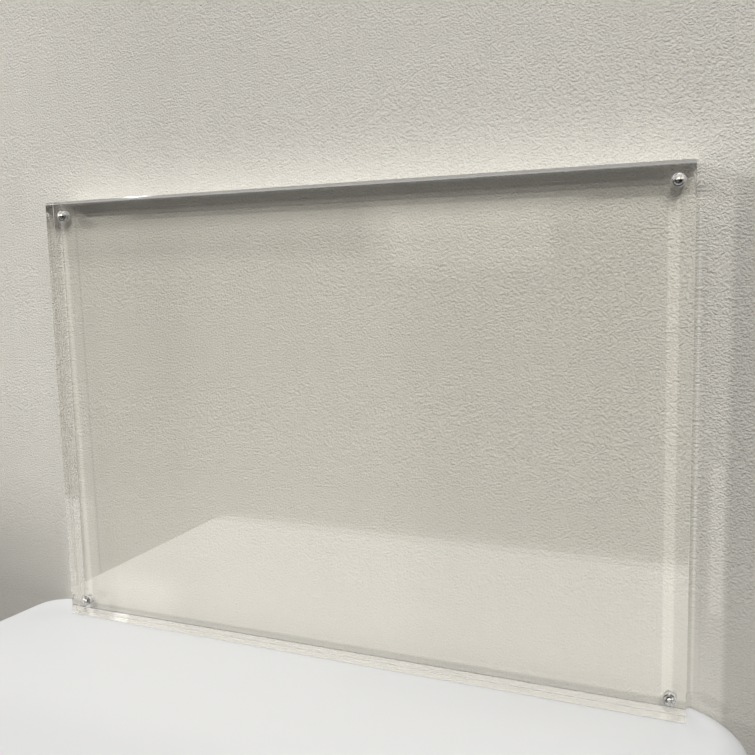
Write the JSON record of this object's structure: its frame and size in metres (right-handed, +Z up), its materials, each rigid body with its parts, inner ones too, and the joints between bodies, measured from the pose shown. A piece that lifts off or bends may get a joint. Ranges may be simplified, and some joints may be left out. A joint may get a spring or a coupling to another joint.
{
  "type": "acrylic sign holder",
  "caption": "Free-standing clear acrylic sign holder: thick rectangular panels held face to face by small round magnets set into their corners, with a sheet sandwiched between them.",
  "frame": {"origin": "middle of the holder's footprint, on the surface that it stands on", "axes": "+X along the width, to the right seen from the front; +Y from the front to the back; +Z up"},
  "size_m": [0.33, 0.0204, 0.229],
  "materials": {
    "clear_acrylic": "clear cast acrylic with polished faces and edges",
    "nickel_plate": "bright nickel plating on a magnet"
  },
  "bodies": {
    "back_half": {"back_panel": "clear_acrylic", "back_magnet_top_left": "nickel_plate", "back_magnet_top_right": "nickel_plate", "back_magnet_bottom_left": "nickel_plate", "back_magnet_bottom_right": "nickel_plate"},
    "front_half": {"front_panel": "clear_acrylic", "front_magnet_top_left": "nickel_plate", "front_magnet_top_right": "nickel_plate", "front_magnet_bottom_left": "nickel_plate", "front_magnet_bottom_right": "nickel_plate"}
  },
  "joints": [
    {"name": "front_panel_pull", "type": "slide", "parent": "back_half", "child": "front_half", "axis": [0, -1, 0], "range_m": [0, 0.06]}
  ]
}
